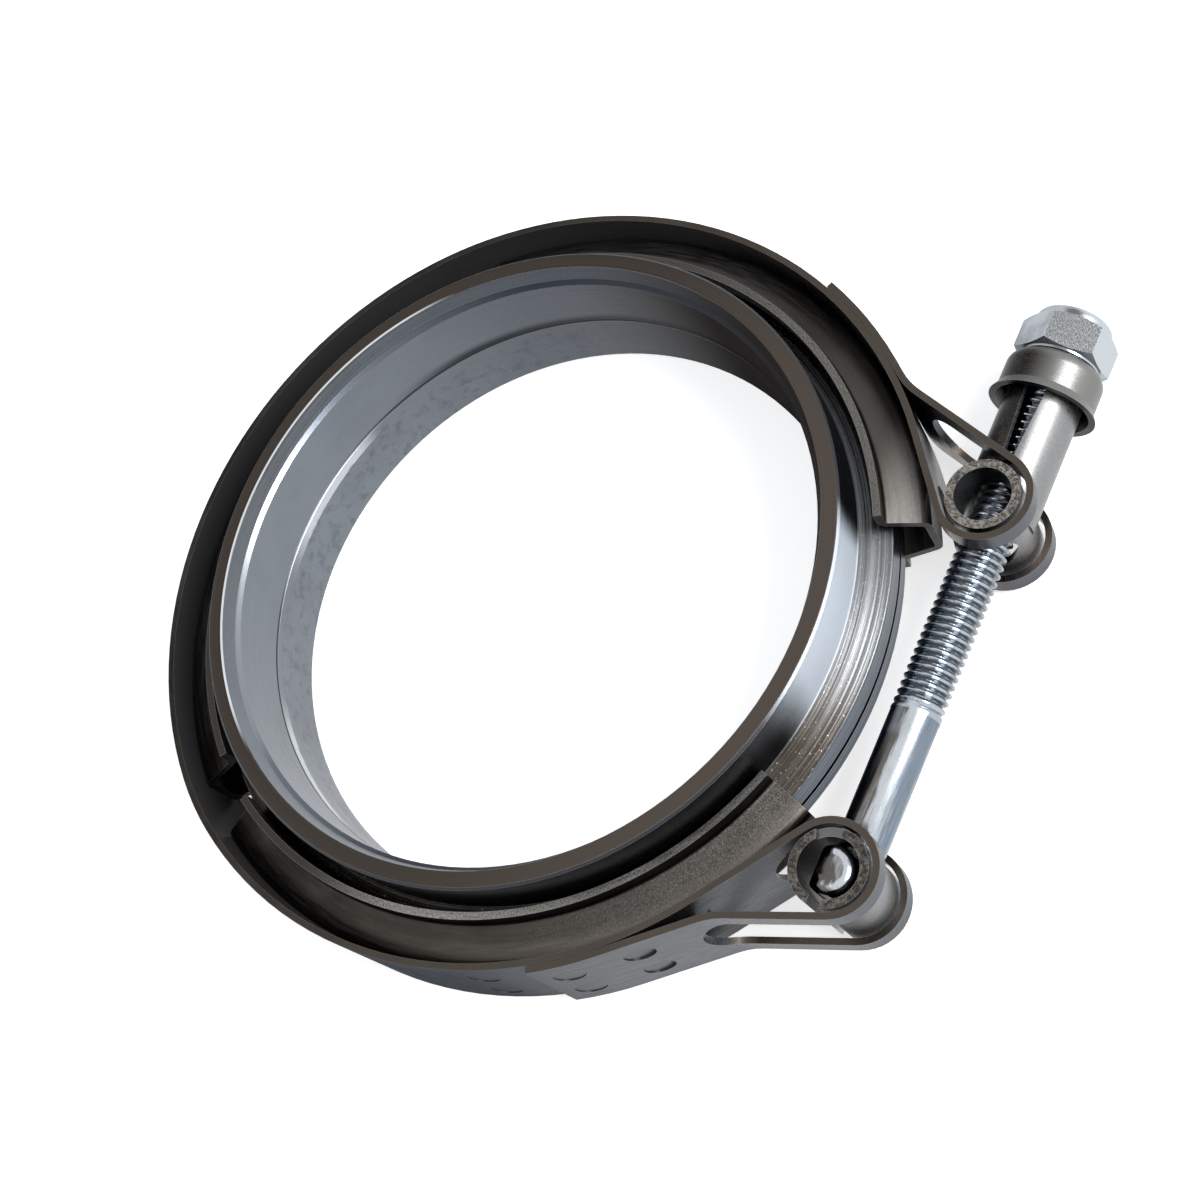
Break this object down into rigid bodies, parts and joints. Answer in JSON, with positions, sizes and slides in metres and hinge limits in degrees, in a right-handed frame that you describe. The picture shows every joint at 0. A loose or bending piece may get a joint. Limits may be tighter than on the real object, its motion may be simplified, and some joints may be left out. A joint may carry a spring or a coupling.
{
  "type": "v-band clamp",
  "caption": "Stainless V-band clamp with slotted strap, T-bolt, trunnion and lock nut, closed round a pair of weld-on pipe flanges.",
  "frame": {"origin": "on the common axis of the two flanges, at the mid-plane of the clamp's V", "axes": "+Z along the flanges' axis, out through the near flange's open face; +X towards the T-bolt side; +Y so that the T-bolt points from its cross bar at -Y to its nut at +Y"},
  "size_m": [0.1098, 0.0999, 0.0203],
  "materials": {
    "turned_steel": "satin, turned",
    "strap_steel": "satin",
    "formed_steel": "satin, roll-formed",
    "bright_steel": "bright",
    "satin_steel": "satin",
    "nylon": "matte"
  },
  "bodies": {
    "clamp": {"near_flange": "turned_steel", "far_flange": "turned_steel", "band_strap": "strap_steel", "upper_retainer": "formed_steel", "middle_retainer": "formed_steel", "lower_retainer": "formed_steel", "t_bolt": "bright_steel", "bar_sleeve": "formed_steel", "trunnion": "satin_steel"},
    "cup": {"cup_washer": "satin_steel"},
    "nut": {"lock_nut": "bright_steel", "nylon_ring": "nylon"}
  },
  "joints": [
    {"name": "cup_slide", "type": "slide", "parent": "clamp", "child": "cup", "axis": [0.0469, 0.9989, 0], "range_m": [-0.002, 0.003]},
    {"name": "nut_spin", "type": "hinge", "parent": "cup", "child": "nut", "pos_m": [0.05319, 0.04114, 0], "axis": [0.0469, 0.9989, 0], "range_deg": [-720, 1080]}
  ],
  "couplings": [
    {"joint": "nut_spin", "follows": "cup_slide", "rad_per_m": 6283.2}
  ]
}
